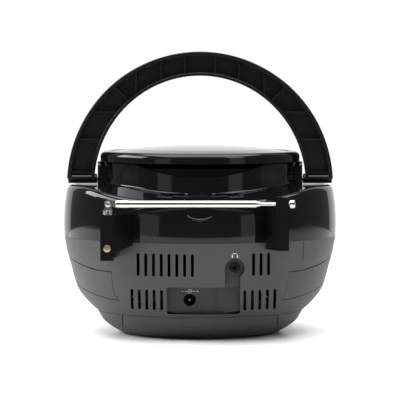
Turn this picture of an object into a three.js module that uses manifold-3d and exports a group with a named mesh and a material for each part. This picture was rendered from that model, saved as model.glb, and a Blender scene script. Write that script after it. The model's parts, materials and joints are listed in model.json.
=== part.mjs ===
// A round portable CD radio with a folding arch handle and a telescopic aerial.
// Millimetres, +Z up, front towards -Y, origin at the centre of the resting plane.

import * as THREE from 'three';
import { mergeVertices } from 'three/addons/utils/BufferGeometryUtils.js';
import Module from 'manifold-3d';

const wasm = await Module();
wasm.setup();

// ---------------------------------------------------------------- driving dimensions

const GAP = 0.3;                    // clearance between pieces that meet
const WALL = 2.8;                   // moulded wall of both shells
const ROUND_STEPS = 36;             // facets round the body
const REACH = 136.2;                // farthest point from the axis, front and rear

const FOOT_UNDERSIDE = 1.5;         // the moulded foot stands on pads
const FOOT_TOP = 22;                // foot meets the lower shell
const SEAM = 92;                    // matt lower shell meets the gloss upper shell
const LEDGE = 140.8;                // ledge round the disc drum, at the sides
const LEDGE_FALL = { depth: 11, from: 55, to: 125 };    // how it dips towards the rear
const LEDGE_RISE = { height: 4.5, from: 14, to: 46 };   // and how it climbs towards the front
const FRONT_LEDGE = LEDGE + LEDGE_RISE.height;
const DRUM_RADIUS = 91;
const DRUM_TOP = 162;

const RIM_RADIUS = 95;              // fixed rim round the lid
const RIM_BOTTOM = 162.6;
const LID_RADIUS = 84;
const LID_HINGE = { x: 39, y: 66, z: 166.5 };

const HANDLE_AXIS_Z = 146;
const HANDLE_CENTRE_Z = 140;
const HANDLE_OUTER = 126.6;
const HANDLE_INNER = { x: 100.7, z: 103.6 };
const HANDLE_FRONT = -9.5;
const HANDLE_REAR = 4.5;
const PIN_RADIUS = 2.2;

const AERIAL = { x: 83, y: 131, z: 128 };   // where the tilt pin crosses the swivel
const AERIAL_POST_TOP = 118;

const SPEAKER = { azimuth: 45, droop: 15, radius: 119.6, z: 52, opening: 34.3, sleeve: 17 };

// ---------------------------------------------------------------- materials

const COLOURS = {
  mattShell: [0x4a4b4d, 0.62, 0],
  glossShell: [0x131314, 0.12, 0],
  smoked: [0x2b2d30, 0.08, 0],
  darkPlastic: [0x232426, 0.5, 0],
  chrome: [0xcfd1d4, 0.15, 1],
  brass: [0xc09a4d, 0.3, 1],
  steel: [0x9fa2a6, 0.35, 1],
  rubber: [0x1d1d1e, 0.9, 0],
  board: [0x1f5a34, 0.6, 0],
  paper: [0x2c2c2e, 0.85, 0],
  display: [0x6d7f72, 0.2, 0],
};

// ---------------------------------------------------------------- solids

// Turns a closed geometry into a solid, with shared corners merged and faces pointing out.
function solidFrom(geometry) {
  const bare = geometry.index ? geometry.toNonIndexed() : geometry.clone();
  bare.deleteAttribute('normal');
  bare.deleteAttribute('uv');
  const merged = mergeVertices(bare, 1e-3);
  const corners = merged.getAttribute('position').array;
  const triangles = [];
  let volume = 0;
  for (let i = 0; i < merged.index.count; i += 3) {
    const [a, b, c] = [0, 1, 2].map((k) => merged.index.getX(i + k));
    if (a === b || b === c || c === a) continue;
    triangles.push(a, b, c);
    const [p, q, r] = [a, b, c].map((k) => new THREE.Vector3().fromArray(corners, 3 * k));
    volume += p.dot(q.cross(r));
  }
  const triVerts = new Uint32Array(volume < 0 ? triangles.reverse() : triangles);
  return new wasm.Manifold(new wasm.Mesh({
    numProp: 3,
    vertProperties: new Float32Array(corners),
    triVerts,
  }));
}

function geometryFrom(solid) {
  const mesh = solid.getMesh();
  const geometry = new THREE.BufferGeometry();
  geometry.setAttribute('position', new THREE.BufferAttribute(mesh.vertProperties, 3));
  geometry.setIndex(new THREE.BufferAttribute(mesh.triVerts, 1));
  return geometry;
}

function join(...solids) {
  return solids.reduce((whole, piece) => whole.add(piece));
}

function cut(whole, ...tools) {
  return tools.reduce((rest, tool) => rest.subtract(tool), whole);
}

// A solid of revolution about Z from [radius, height] points; a loop closes on itself.
function latheGeometry(points, { loop = true, steps = ROUND_STEPS } = {}) {
  const outline = points.map(([radius, height]) => new THREE.Vector2(radius, height));
  if (loop) outline.push(outline[0].clone());
  return new THREE.LatheGeometry(outline, steps).rotateX(Math.PI / 2);
}

const revolve = (points, options) => solidFrom(latheGeometry(points, options));
const spin = (points, steps = 24) => revolve(points, { loop: false, steps });

// A box from its lowest to its highest corner.
function block([x0, y0, z0], [x1, y1, z1]) {
  const geometry = new THREE.BoxGeometry(x1 - x0, y1 - y0, z1 - z0);
  return solidFrom(geometry.translate((x0 + x1) / 2, (y0 + y1) / 2, (z0 + z1) / 2));
}

// A cylinder between two points.
function rod(from, to, radius, steps = 20) {
  const [start, end] = [new THREE.Vector3(...from), new THREE.Vector3(...to)];
  const along = end.clone().sub(start);
  const geometry = new THREE.CylinderGeometry(radius, radius, along.length(), steps);
  const turn = new THREE.Quaternion().setFromUnitVectors(
    new THREE.Vector3(0, 1, 0), along.clone().normalize());
  geometry.applyQuaternion(turn);
  const middle = start.add(end).multiplyScalar(0.5);
  return solidFrom(geometry.translate(middle.x, middle.y, middle.z));
}

// An outline drawn in the XZ plane and extruded along Y.
function standingPlate(shape, y0, y1, curveSegments = 12) {
  const geometry = new THREE.ExtrudeGeometry(shape, {
    depth: y1 - y0, bevelEnabled: false, curveSegments });
  return solidFrom(geometry.rotateX(Math.PI / 2).translate(0, y1, 0));
}

// An outline drawn in the XY plane and extruded up Z.
function lyingPlate(points, z0, z1) {
  const shape = new THREE.Shape(points.map(([x, y]) => new THREE.Vector2(x, y)));
  const geometry = new THREE.ExtrudeGeometry(shape, { depth: z1 - z0, bevelEnabled: false });
  return solidFrom(geometry.translate(0, 0, z0));
}

// An outline drawn in the YZ plane and extruded along X.
function sidePlate(points, x0, x1) {
  const shape = new THREE.Shape(points.map(([y, z]) => new THREE.Vector2(y, z)));
  const geometry = new THREE.ExtrudeGeometry(shape, { depth: x1 - x0, bevelEnabled: false });
  return solidFrom(geometry.rotateZ(Math.PI / 2).rotateY(Math.PI / 2).translate(x0, 0, 0));
}

const group = new THREE.Group();

// Adds a finished piece to the assembly, in the given parent.
function add(name, solid, finish, parent = group) {
  const [color, roughness, metalness] = COLOURS[finish];
  const material = new THREE.MeshStandardMaterial({ color, roughness, metalness });
  const mesh = new THREE.Mesh(geometryFrom(solid), material);
  mesh.name = name;
  parent.add(mesh);
}

const SIDES = [['left', 1], ['right', -1]];      // left is +X, as seen from the rear

// ---------------------------------------------------------------- body outline

const footCurve = new THREE.SplineCurve([
  [73.5, 0], [83.5, 5.5], [92, 12], [96.2, 18.5], [98.2, FOOT_TOP],
].map(([r, z]) => new THREE.Vector2(r, z)));

const bowlCurve = new THREE.SplineCurve([
  [98.4, FOOT_TOP], [106.5, 29.5], [116.8, 43.5], [124.8, 71.5], [129, SEAM],
].map(([r, z]) => new THREE.Vector2(r, z)));

const bandCurve = new THREE.SplineCurve([
  [129, SEAM], [129.4, 104], [128.6, 122], [126.6, 136],
].map(([r, z]) => new THREE.Vector2(r, z)));

function stretch(curve, lowest, highest, steps) {
  return curve.getSpacedPoints(steps)
    .filter((point) => point.y >= lowest && point.y <= highest)
    .map((point) => [point.x, point.y]);
}

const footOutside = stretch(footCurve, 2, FOOT_TOP, 5);
const bowlOutside = stretch(bowlCurve, 0, SEAM, 7);
const bandOutside = stretch(bandCurve, 0, 140, 3);

// Half of the points of a stretch, with both of its ends, for a hidden inner wall.
function everyOther(points) {
  return points.filter((_, i) => i % 2 === 0 || i === points.length - 1);
}

// Everything inside the body's outer surface, grown by a margin.
function bodySolid(margin) {
  const outside = [...footOutside, ...bowlOutside, ...bandOutside];
  const side = outside.map(([radius, height]) => [radius + margin, height]);
  const top = side[side.length - 1];
  return revolve([[0, side[0][1]], ...side, [0, top[1]]], { loop: false });
}

// The space inside the lower shell, kept clear of its wall.
function bowlCavity() {
  const clearance = WALL + 1.8;
  const side = bowlOutside.map(([radius, height]) => [radius - clearance, height]);
  return revolve([[0, side[0][1]], ...side, [0, SEAM]], { loop: false });
}

const body = bodySolid(GAP);

// ---------------------------------------------------------------- sockets recess

const SOCKETS = {
  power: { x0: -36.7, x1: 30.4, z0: 25.4, z1: 51.5, floor: 95.5, jackX: 9.5, jackZ: 38.2,
    stepX: -14, stepDepth: 1 },
  aux: { x: -31.7, z: 69, radius: 9, floor: 108 },
};

// The recess for the two sockets: a wide bay for power with a round one for sound above it.
function socketRecess(margin, floorShift) {
  const { power, aux } = SOCKETS;
  const bay = block(
    [power.x0 - margin, power.floor - floorShift, power.z0 - margin],
    [power.x1 + margin, 130, power.z1 + margin]);
  const well = rod([aux.x, aux.floor - floorShift, aux.z], [aux.x, 130, aux.z],
    aux.radius + margin, 20);
  const channel = block(
    [aux.x - 5 - margin, aux.floor - floorShift, power.z1 - 4],
    [aux.x + aux.radius + margin, 130, aux.z]);
  return join(bay, well, channel);
}

function jackPanel() {
  const { power, aux } = SOCKETS;
  const floorThickness = 2.4;
  const step = block(
    [power.x0, power.floor - power.stepDepth, power.z0], [power.stepX, power.floor + 1, power.z1]);
  const tray = cut(socketRecess(2.2, floorThickness), socketRecess(0, 0), step);
  const powerHole = rod([power.jackX, 80, power.jackZ], [power.jackX, 110, power.jackZ], 5.8, 16);
  const auxHole = rod([aux.x, 80, aux.z], [aux.x, 120, aux.z], 4.8, 16);
  return cut(tray, powerHole, auxHole).intersect(bowlCavity());
}

function tubeAlongY(x, z, y0, y1, outer, inner) {
  return cut(rod([x, y0, z], [x, y1, z], outer, 16), rod([x, y0 + 3, z], [x, y1 + 1, z], inner, 12));
}

// ---------------------------------------------------------------- lower shell and foot

const VENT_WIDTH = 2.7;
const VENTS = [
  { count: 8, start: 6.9, z0: 61.2, z1: 82.5, pitch: 7.08 },
  { count: 3, start: -62.6, z0: 61.5, z1: 82.5, pitch: 6.9 },
  { count: 5, start: 35.1, z0: 29, z1: 48.7, pitch: 6.83 },
  { count: 5, start: -68.8, z0: 28.6, z1: 48.3, pitch: 6.95 },
];

function ventSlots() {
  return VENTS.flatMap(({ count, start, z0, z1, pitch }) =>
    Array.from({ length: count }, (_, i) => {
      const x = start + i * pitch;
      return block([x - VENT_WIDTH / 2, 60, z0], [x + VENT_WIDTH / 2, 140, z1]);
    }));
}

const CHEEK_DEPTH = 1.6;
const CHEEK_OUTLINE = [
  [92, 64.1], [84.8, 36.6], [75.4, 37.3], [24, 46.8], [-38, 56], [-44, 62],
  [-42, 78], [-34, 82], [20, 73.6], [37.6, 71], [77.4, 64.8],
];

// The bowl's skin between two depths under the outer surface.
function bowlSkin(outerInset, innerInset) {
  const outside = bowlOutside.map(([radius, height]) => [radius - outerInset, height]);
  const inside = bowlOutside.map(([radius, height]) => [radius - innerInset, height]);
  return revolve([...outside, ...inside.reverse()]);
}

function cheekPrism(side, shrink) {
  const middle = [24, 60];
  const points = CHEEK_OUTLINE.map((point) => point.map((value, k) =>
    value - Math.sign(value - middle[k]) * shrink));
  return side > 0 ? sidePlate(points, 60, 140) : sidePlate(points, -140, -60);
}

function cheekPanel(side) {
  return bowlSkin(0, CHEEK_DEPTH - GAP).intersect(cheekPrism(side, GAP));
}

// Places a group at a speaker, its +Z axis along the direction the speaker faces.
function speakerFrame(side) {
  const azimuth = THREE.MathUtils.degToRad(SPEAKER.azimuth);
  const droop = THREE.MathUtils.degToRad(SPEAKER.droop);
  const facing = new THREE.Vector3(
    side * Math.sin(azimuth) * Math.cos(droop),
    -Math.cos(azimuth) * Math.cos(droop),
    -Math.sin(droop));
  const frame = new THREE.Group();
  frame.quaternion.setFromUnitVectors(new THREE.Vector3(0, 0, 1), facing);
  frame.position.set(
    side * SPEAKER.radius * Math.sin(azimuth),
    -SPEAKER.radius * Math.cos(azimuth),
    SPEAKER.z);
  return frame;
}

function speakerOpening(side) {
  const frame = speakerFrame(side);
  frame.updateMatrix();
  const geometry = new THREE.CylinderGeometry(SPEAKER.opening, SPEAKER.opening, 60, 28);
  return solidFrom(geometry.rotateX(Math.PI / 2).applyMatrix4(frame.matrix));
}

function lowerShell() {
  const top = SEAM - GAP / 2;
  const bottom = FOOT_TOP + GAP / 2;
  const outside = bowlOutside.map(([radius, height]) =>
    [radius, THREE.MathUtils.clamp(height, bottom, top)]);
  const inside = everyOther(outside).map(([radius, height]) => [radius - WALL, height]).reverse();
  const cheeks = SIDES.map(([, side]) =>
    cut(cheekPrism(side, 0), bodySolid(-CHEEK_DEPTH)));
  return cut(
    revolve([...outside, ...inside]),
    ...ventSlots(),
    socketRecess(0, 20),
    ...cheeks,
    ...SIDES.map(([, side]) => speakerOpening(side)));
}

const DOOR = { halfWidth: 72, front: -30 };
const FOOT_FLOOR = 4.5;
const FOOT_LIP = { inner: 71.6, outer: 74.4, z: 0.5 };   // a low ring outside the pads

function footBowl() {
  const top = FOOT_TOP - GAP / 2;
  const lip = [[FOOT_LIP.inner, FOOT_UNDERSIDE], [FOOT_LIP.inner, FOOT_LIP.z],
    [FOOT_LIP.outer, FOOT_LIP.z]];
  const outside = footOutside.map(([radius, height]) => [radius, Math.min(height, top)]);
  const inside = everyOther(outside.filter(([, height]) => height > FOOT_FLOOR))
    .map(([radius, height]) => [radius - WALL, height]).reverse();
  return revolve([
    [0, FOOT_UNDERSIDE], ...lip, ...outside, ...inside, [inside.at(-1)[0] - 1, FOOT_FLOOR],
    [0, FOOT_FLOOR],
  ], { loop: false });
}

function doorRegion(margin) {
  return block([-DOOR.halfWidth - margin, DOOR.front - margin, -5],
    [DOOR.halfWidth + margin, 120, 30]);
}

const BATTERY = { x: 53, y0: -28, y1: 55.5, z0: 8, z1: 40, wall: 2.2 };

function batteryBox() {
  const { x, y0, y1, z0, z1, wall } = BATTERY;
  return cut(
    block([-x, y0, z0], [x, y1, z1]),
    block([-x + wall, y0 + wall, z0 - 1], [x - wall, y1 - wall, z1 - wall]));
}

// A contact plate with three coned springs, at one end of the battery bay.
function contactPlate(side) {
  const { x, y0, y1, wall } = BATTERY;
  const face = side * (x - wall - GAP);
  const plate = block(
    [Math.min(face, face - side), y0 + wall + 1, 12],
    [Math.max(face, face - side), y1 - wall - 1, 34]);
  const rowPitch = (y1 - y0 - 2 * wall) / 3;
  const springs = [0, 1, 2].map((row) => {
    const geometry = new THREE.CylinderGeometry(2.4, 5.5, 5, 16).rotateZ(side * Math.PI / 2);
    return solidFrom(geometry.translate(
      face - side * 3.2, y0 + wall + rowPitch * (row + 0.5), 23));
  });
  return join(plate, ...springs);
}

function footPad(x, y) {
  return spin([[0, 0], [5.5, 0], [6, 0.5], [6, FOOT_UNDERSIDE - GAP], [0, FOOT_UNDERSIDE - GAP]], 16)
    .translate([x, y, 0]);
}

// ---------------------------------------------------------------- upper shell

// The outline of the upper shell, each point with the share of the ledge's shift it takes.
function upperOutline() {
  const band = bandOutside.map(([radius, height]) =>
    [radius, Math.max(height, SEAM + GAP / 2), (height - SEAM) / (LEDGE - SEAM)]);
  const shoulder = [
    [125.6, 139.2, 1],
    [123.6, 140.7, 1],
    [121, LEDGE, 1],
  ];
  const drum = [
    [DRUM_RADIUS + 1.5, LEDGE - 0.6, 1],
    [DRUM_RADIUS, LEDGE + 1, 1],
    [DRUM_RADIUS, DRUM_TOP - 0.8, 0],
    [DRUM_RADIUS - 0.8, DRUM_TOP, 0],
    [DRUM_RADIUS - 2.5, DRUM_TOP, 0],
    [DRUM_RADIUS - 2.5, LEDGE - 3.4, 1],
  ];
  const underside = [[120, LEDGE - 3.2, 1], [123, LEDGE - 6, 1]];
  const lining = [band.at(-1), band[0]].map(
    ([radius, height, share]) => [radius - WALL, height, share]);
  return [...band, ...shoulder, ...drum, ...underside, ...lining];
}

// How far the ledge lies above its height at the sides.
function ledgeShift(y) {
  const fall = THREE.MathUtils.smoothstep(y, LEDGE_FALL.from, LEDGE_FALL.to);
  const rise = THREE.MathUtils.smoothstep(-y, LEDGE_RISE.from, LEDGE_RISE.to);
  return LEDGE_RISE.height * rise - LEDGE_FALL.depth * fall;
}

// Revolves the outline, then lowers the ledge at the rear and raises it at the front.
function upperRing() {
  const outline = upperOutline();
  const geometry = latheGeometry(outline.map(([radius, height]) => [radius, height]));
  const position = geometry.getAttribute('position');
  const pointsPerTurn = outline.length + 1;
  for (let i = 0; i < position.count; i += 1) {
    const [, , share] = outline[(i % pointsPerTurn) % outline.length];
    position.setZ(i, position.getZ(i) + share * ledgeShift(position.getY(i)));
  }
  return solidFrom(geometry);
}

// A shallow arc taken out of the drum's rear wall.
function rearScallop() {
  const [halfChord, sagitta] = [62, 11.8];
  const radius = (halfChord ** 2 + sagitta ** 2) / (2 * sagitta);
  const centreZ = DRUM_TOP - sagitta + radius;
  return rod([0, 60, centreZ], [0, 100, centreZ], radius, 72);
}

// Three thin drain slots at the foot of the drum's rear wall.
function drainSlots() {
  return [-25, 0, 25].map((x) => block([x - 11, 84, 134.6], [x + 11, 94, 136]));
}

// A shallow finger recess in the rear wall, for lifting the folded handle.
function fingerRecess() {
  const geometry = new THREE.SphereGeometry(1, 16, 8).scale(18, 5, 14);
  return solidFrom(geometry.translate(0, 130, 126));
}

const EAR = { inner: 90.4, outer: 97.2, radius: 6.5, crownZ: 155.8 };

// The upright ear that carries one end of the handle, standing on the ledge.
function handleEar(side) {
  const [x0, x1] = [side * EAR.inner, side * EAR.outer].sort((a, b) => a - b);
  const upright = block([x0, -EAR.radius, LEDGE - 2], [x1, EAR.radius, EAR.crownZ]);
  const crown = rod([x0, 0, EAR.crownZ], [x1, 0, EAR.crownZ], EAR.radius, 20);
  const bore = rod([x0 - 1, 0, HANDLE_AXIS_Z], [x1 + 1, 0, HANDLE_AXIS_Z], PIN_RADIUS + GAP);
  return cut(join(upright, crown), bore);
}

const KNOBS = { azimuth: 38, z: 116, radius: 13, seat: 129.4 };

function azimuthPoint(degrees, radius, z) {
  const angle = THREE.MathUtils.degToRad(degrees);
  return [radius * Math.sin(angle), -radius * Math.cos(angle), z];
}

function knobBore(azimuth) {
  return rod(azimuthPoint(azimuth, 110, KNOBS.z), azimuthPoint(azimuth, 140, KNOBS.z), 3.3);
}

const SWITCHES = { azimuth: 24, radius: 108, slotLength: 16, slotWidth: 4.4 };
const LID_BUTTON = { y: -108, halfX: 16, halfY: 6 };

function switchSlot(side) {
  const [x, y] = azimuthPoint(side * SWITCHES.azimuth, SWITCHES.radius, 0);
  const [halfLength, halfWidth] = [SWITCHES.slotLength / 2, SWITCHES.slotWidth / 2];
  return block([x - halfLength, y - halfWidth, 130], [x + halfLength, y + halfWidth, 150]);
}

function upperShell() {
  const button = block(
    [-LID_BUTTON.halfX, LID_BUTTON.y - LID_BUTTON.halfY, 130],
    [LID_BUTTON.halfX, LID_BUTTON.y + LID_BUTTON.halfY, 150]);
  const ring = cut(
    upperRing(),
    rearScallop(),
    ...drainSlots(),
    fingerRecess(),
    ...SIDES.map(([, side]) => rod([side * 80, 0, HANDLE_AXIS_Z], [side * 100, 0, HANDLE_AXIS_Z],
      PIN_RADIUS + GAP)),
    ...[-1, 1].map((side) => knobBore(side * KNOBS.azimuth)),
    ...[-1, 1].map((side) => switchSlot(side)),
    block([-34, -140, 100], [34, -110, 134]),
    button);
  const ears = SIDES.map(([, side]) => handleEar(side));
  return join(ring, ...ears);
}

// ---------------------------------------------------------------- disc drive

const DECK = { hole: 24, radius: 88.1, bottom: 148.6, top: 158.2, recess: 61.5, floor: 151.4 };
const SLED = { halfX: 13, y0: -34, y1: -20, z0: 142, z1: 148 };
const GUIDE = { x: 9, z: 140, radius: 1.5, ends: [[-69, -66], [-18, -15]] };
const CHASSIS = { halfX: 52, front: -72, rear: 42, top: 135.6, thickness: 2.6 };
const HUB = { shaft: 2, bottom: 147.4, flange: 15, seat: 152, cone: 7.4, top: 157.2 };

const HINGE_EAR_WIDTH = 3;
const LUG_HALF_WIDTH = 5;

// Two small ears on the deck, either side of one of the lid's lugs.
function lidHingeEars(side) {
  const { x, y, z } = LID_HINGE;
  return [-1, 1].map((flank) => {
    const inner = side * x + flank * (LUG_HALF_WIDTH + GAP);
    const outer = inner + flank * HINGE_EAR_WIDTH;
    const [x0, x1] = [inner, outer].sort((a, b) => a - b);
    const upright = block([x0, y - 2.4, 155], [x1, y + 2.4, z]);
    const crown = rod([x0, y, z], [x1, y, z], 2.4, 12);
    const bore = rod([x0 - 1, y, z], [x1 + 1, y, z], 1.35, 8);
    return cut(join(upright, crown), bore);
  });
}

function discDeck() {
  const deck = revolve([
    [DECK.hole, DECK.bottom], [DECK.radius, DECK.bottom], [DECK.radius, DECK.top],
    [DECK.radius - 4, DECK.top], [DECK.recess + 5.5, DECK.top - 1.6],
    [DECK.recess + 1, DECK.top - 2.8], [DECK.recess, DECK.floor], [DECK.hole, DECK.floor],
  ]);
  const lensSlot = block([-9.5, -62, 140], [9.5, -14, 156]);
  const fingerBays = [1, -1].map((side) =>
    rod([side * DECK.recess, 0, DECK.floor + 0.8], [side * DECK.recess, 0, RIM_BOTTOM], 13, 16));
  const hinges = SIDES.flatMap(([, side]) => lidHingeEars(side));
  return join(cut(deck, lensSlot, ...fingerBays), ...hinges);
}

function driveChassis() {
  const { halfX, front, rear, top, thickness } = CHASSIS;
  const plate = block([-halfX, front, top - thickness], [halfX, rear, top]);
  const rodBlocks = GUIDE.ends.flatMap(([y0, y1]) => [-GUIDE.x, GUIDE.x].map((x) =>
    block([x - 3, y0, top - 1], [x + 3, y1, GUIDE.z + 2])));
  const pillars = [front + 10, rear - 8].flatMap((y) => [6 - halfX, halfX - 6].map((x) =>
    rod([x, y, top - 1], [x, y, DECK.bottom - GAP], 3.4, 10)));
  const window = block([-6, front + 12, top - thickness - 1], [6, front + 48, top + 1]);
  return cut(join(plate, ...rodBlocks, ...pillars), window);
}

function guideRod(side) {
  const [x, reach] = [side * GUIDE.x, 0.4];
  const [front, rear] = [GUIDE.ends[0][1] + reach, GUIDE.ends[1][0] - reach];
  return rod([x, front, GUIDE.z], [x, rear, GUIDE.z], GUIDE.radius, 12);
}

function spindleMotor() {
  const bottom = CHASSIS.top + GAP;
  return spin([[0, bottom], [12, bottom], [12, 146], [5, 147], [0, 147]], 20);
}

function spindleHub() {
  const { shaft, bottom, flange, seat, cone, top } = HUB;
  return spin([
    [0, bottom], [shaft, bottom], [shaft, seat], [flange, seat], [flange, seat + 1.4],
    [cone, seat + 1.4], [cone, top - 1.2], [cone - 1.4, top], [0, top],
  ], 20);
}

function laserSled() {
  const carriage = block([-SLED.halfX, SLED.y0, SLED.z0], [SLED.halfX, SLED.y1, SLED.z1]);
  const y = (SLED.y0 + SLED.y1) / 2;
  return join(carriage, rod([0, y, SLED.z1 - 1], [0, y, SLED.z1 + 1.2], 5.5));
}

// ---------------------------------------------------------------- lid

const WINDOW_RADIUS = 66;

// Height of the lid's domed top at a distance from its centre.
function domeHeight(radius) {
  return 177.5 - 6 * (radius / 85) ** 2.2;
}

function domeProfile(from, to, steps, drop) {
  return Array.from({ length: steps + 1 }, (_, i) => {
    const radius = from + (to - from) * i / steps;
    return [radius, domeHeight(radius) - drop];
  });
}

function lidFrame() {
  const seat = WINDOW_RADIUS - 4;
  const ring = revolve([
    ...domeProfile(WINDOW_RADIUS, LID_RADIUS - 0.6, 2, 0),
    [LID_RADIUS, domeHeight(LID_RADIUS) - 0.6],
    [LID_RADIUS, domeHeight(LID_RADIUS) - 2.4],
    ...domeProfile(seat, LID_RADIUS - 1, 1, 2.6).reverse(),
    [seat, domeHeight(seat) - 1.6],
    [WINDOW_RADIUS, domeHeight(WINDOW_RADIUS) - 1.5],
  ]);
  const { x, y, z } = LID_HINGE;
  const lugs = SIDES.map(([, side]) => {
    const [x0, x1] = [side * x - LUG_HALF_WIDTH, side * x + LUG_HALF_WIDTH];
    const web = block([x0, y - 2, z], [x1, y + 2, 171]);
    const knuckle = rod([x0, y, z], [x1, y, z], 2, 12);
    const trunnion = rod([x0 - 2.8, y, z], [x1 + 2.8, y, z], 1, 8);
    return join(web, knuckle, trunnion);
  });
  return join(ring, ...lugs);
}

// The fixed rim that overhangs the drum and frames the lid.
function drumRim() {
  const inner = LID_RADIUS + 1.2;
  return revolve([
    [inner, 170.6], [inner + 1.6, 172.3], [90, 172.4], [92.6, 171.6], [RIM_RADIUS - 1.2, 170.2],
    [RIM_RADIUS - 0.4, 168.2], [RIM_RADIUS, 166], [RIM_RADIUS, RIM_BOTTOM], [92, RIM_BOTTOM],
    [91, DRUM_TOP + GAP], [inner + 1.6, DRUM_TOP + GAP], [inner + 0.4, 168.4],
  ]);
}

function lidWindow() {
  const radius = WINDOW_RADIUS - GAP;
  const outside = domeProfile(0, radius, 2, 0);
  const inside = domeProfile(0, radius, 1, 1.2).reverse();
  return revolve([...outside, ...inside], { loop: false });
}

// ---------------------------------------------------------------- handle

// The arch outline; the margins move its outer and inner edges into the material.
function archShape(outerMargin, innerMargin, foot) {
  const shape = new THREE.Shape();
  const outer = HANDLE_OUTER - outerMargin;
  const inner = { x: HANDLE_INNER.x + innerMargin, z: HANDLE_INNER.z + innerMargin };
  const outerStart = Math.asin((foot - HANDLE_CENTRE_Z) / outer);
  const innerStart = Math.asin((foot - HANDLE_CENTRE_Z) / inner.z);
  shape.absarc(0, HANDLE_CENTRE_Z, outer, outerStart, Math.PI - outerStart, false);
  shape.absellipse(0, HANDLE_CENTRE_Z, inner.x, inner.z,
    Math.PI - innerStart, innerStart, true);
  shape.closePath();
  return shape;
}

const CHANNEL = { outerWall: 4, innerWall: 3, floor: 2.6, foot: 5.5 };   // hollow rear of the arch
const RIBS = {
  upright: [14.4, 36.9, 60.9],
  level: [209, 183.4],
  radial: 48.8,
  thickness: 2,
};

function handleRibs() {
  const half = RIBS.thickness / 2;
  return [-1, 1].flatMap((side) => {
    const uprights = RIBS.upright.map((x) =>
      block([side * x - half, -20, 190], [side * x + half, 20, 280]));
    const levels = RIBS.level.map((z) =>
      side > 0 ? block([80, -20, z - half], [140, 20, z + half])
        : block([-140, -20, z - half], [-80, 20, z + half]));
    const radial = new THREE.BoxGeometry(60, 40, RIBS.thickness)
      .translate(115, 0, 0)
      .rotateY(-THREE.MathUtils.degToRad(side > 0 ? RIBS.radial : 180 - RIBS.radial))
      .translate(0, 0, HANDLE_CENTRE_Z);
    return [...uprights, ...levels, solidFrom(radial)];
  });
}

function handle() {
  const { outerWall, innerWall, floor, foot } = CHANNEL;
  const arch = standingPlate(archShape(0, 0, HANDLE_AXIS_Z), HANDLE_FRONT, HANDLE_REAR, 18);
  const channel = standingPlate(
    archShape(outerWall, innerWall, HANDLE_AXIS_Z + foot), HANDLE_FRONT + floor, HANDLE_REAR + 1, 18);
  const cells = cut(channel, ...handleRibs());
  const bosses = SIDES.map(([, side]) => {
    const [x0, x1] = [side * (EAR.outer + 0.8), side * (HANDLE_OUTER - 1)].sort((a, b) => a - b);
    return rod([x0, 0, HANDLE_AXIS_Z], [x1, 0, HANDLE_AXIS_Z], HANDLE_REAR, 20);
  });
  const bores = SIDES.map(([, side]) =>
    rod([side * 90, 0, HANDLE_AXIS_Z], [side * 112.3, 0, HANDLE_AXIS_Z], PIN_RADIUS + GAP));
  return cut(join(cut(arch, cells), ...bosses), ...bores);
}

// ---------------------------------------------------------------- aerial

const POST = { x0: 78, x1: 90, z0: 77, rear: 136 };
const CLIP_POST = { x0: -80.3, x1: -68.3, z0: 86, z1: 133, rear: 134.3, slotFloor: 124.2 };

// A bracket that fills the space between the round body and the straight aerial.
function aerialPost() {
  const { x0, x1, z0, rear } = POST;
  const plan = [[x1, 80], [x1, rear], [x0, rear], [60, 112], [60, 80]];
  const slant = standingPlate(new THREE.Shape([
    [55, 70], [77.9, 70], [77.9, 84], [55, 92],
  ].map(([x, z]) => new THREE.Vector2(x, z))), 60, 150);
  const screwSeat = rod([84, 134.2, 88], [84, 140, 88], 4);
  const socket = rod([AERIAL.x, AERIAL.y, 106], [AERIAL.x, AERIAL.y, 120], 2.8, 16);
  return cut(lyingPlate(plan, z0, AERIAL_POST_TOP), body, slant, screwSeat, socket);
}

function clipPost() {
  const { x0, x1, z0, z1, rear, slotFloor } = CLIP_POST;
  const plan = [[x0, 80], [x0, rear], [x1, rear], [-60, 113], [-60, 80]];
  const trim = standingPlate(new THREE.Shape([
    [x1 + 0.1, 60], [-50, 60], [-50, 140], [x1 + 0.1, 140],
  ].map(([x, z]) => new THREE.Vector2(x, z))), 126, 150);
  const slot = block([-100, 127.6, slotFloor], [-40, 150, 150]);
  return cut(lyingPlate(plan, z0, z1), body, trim, slot);
}

function aerialClip() {
  const { x0, x1, z0, z1, rear } = CLIP_POST;
  return block([x0, rear + GAP, z0], [x1, REACH, z1]);
}

function aerialFork() {
  const { x, y, z } = AERIAL;
  const base = spin([[0, 107], [2.4, 107], [2.4, AERIAL_POST_TOP + GAP],
    [4.7, AERIAL_POST_TOP + GAP], [4.7, 122.5], [0, 122.5]], 16).translate([x, y, 0]);
  const cheeks = [-1, 1].map((flank) => {
    const [y0, y1] = [y + flank * 2, y + flank * 4.2].sort((a, b) => a - b);
    return cut(
      join(block([x - 4.2, y0, 121], [x + 4.2, y1, z]), rod([x, y0, z], [x, y1, z], 4.2, 16)),
      rod([x, y0 - 1, z], [x, y1 + 1, z], 1.6, 8));
  });
  return join(base, ...cheeks);
}

const TUBES = {
  outer: { from: 78.5, to: -52, radius: 3.5, bore: 3.05 },
  middle: { from: 60, to: -55, radius: 2.7, bore: 1.95 },
  inner: { from: 50, to: -80.7, radius: 1.6 },
};

// A tube along the aerial's axis, from its closed end towards -X.
function aerialTube({ from, to, radius, bore }, wallStart) {
  const { y, z } = AERIAL;
  return cut(rod([from, y, z], [to, y, z], radius, 16),
    rod([wallStart, y, z], [to - 1, y, z], bore, 12));
}

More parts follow.
